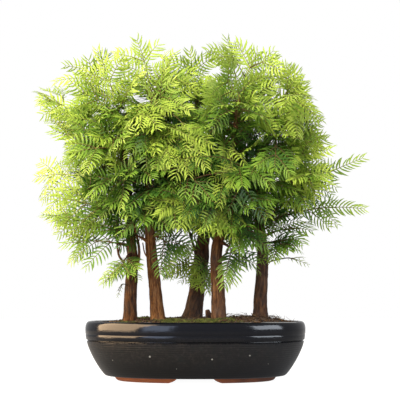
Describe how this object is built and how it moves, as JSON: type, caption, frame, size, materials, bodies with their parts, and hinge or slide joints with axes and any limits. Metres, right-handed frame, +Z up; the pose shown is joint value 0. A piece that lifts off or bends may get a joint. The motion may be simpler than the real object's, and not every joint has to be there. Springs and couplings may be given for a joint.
{
  "type": "dawn redwood bonsai forest",
  "caption": "Group of slender dawn redwood trees with feathery green fronds, standing in mounded soil in an oval dark glazed bonsai tray on low feet.",
  "frame": {"origin": "on the surface that the feet stand on, under the middle of the tray", "axes": "+Z up, +X along the tray to the right seen from the front, and the front faces -Y"},
  "size_m": [0.435, 0.259, 0.44],
  "materials": {
    "glaze": "gloss",
    "soil": "matte",
    "drain_mesh": "matte",
    "bark": "matte",
    "young_needles": "satin",
    "needles": "satin"
  },
  "bodies": {
    "root": {"tray": "glaze", "soil": "soil", "drain_mesh_left": "drain_mesh", "drain_mesh_right": "drain_mesh", "tree_1": "bark", "tree_2": "bark", "tree_3": "bark", "tree_4": "bark", "tree_5": "bark", "frond_low_left": "young_needles", "frond_left": "young_needles", "frond_left_front": "young_needles", "frond_left_bright": "young_needles", "frond_left_high": "young_needles", "frond_left_middle": "young_needles", "frond_left_top": "young_needles", "frond_leader_1": "young_needles", "frond_front_1": "young_needles", "frond_back_left_1": "needles", "frond_back_1": "needles", "frond_tuft_1": "needles", "frond_leader_2": "young_needles", "frond_top_2": "young_needles", "frond_front_high_2": "young_needles", "frond_front_2": "young_needles", "frond_front_left_2": "young_needles", "frond_low_right_2": "needles", "frond_back_2": "needles", "frond_low_left_2": "needles", "frond_leader_3": "young_needles", "frond_top_left_3": "needles", "frond_top_right_3": "needles", "frond_back_left_3": "needles", "frond_back_right_3": "needles", "frond_back_3": "needles", "frond_back_low_left_3": "needles", "frond_back_low_right_3": "needles", "frond_fan_3": "needles", "frond_hanging_3": "needles", "frond_leader_4": "young_needles", "frond_top_right_4": "young_needles", "frond_front_high_4": "young_needles", "frond_front_upper_4": "young_needles", "frond_front_falling_4": "young_needles", "frond_front_left_4": "young_needles", "frond_front_hanging_4": "young_needles", "frond_low_right_4": "needles", "frond_hanging_right_4": "needles", "frond_leader_5": "young_needles", "frond_right_top_5": "young_needles", "frond_right_falling_5": "young_needles", "frond_right_middle_5": "young_needles", "frond_far_right_5": "young_needles", "frond_far_right_low_5": "young_needles", "frond_right_low_5": "needles", "frond_tuft_5": "needles", "frond_front_high_5": "young_needles", "frond_front_5": "young_needles", "frond_back_high_5": "needles", "frond_back_5": "needles"}
  },
  "joints": []
}
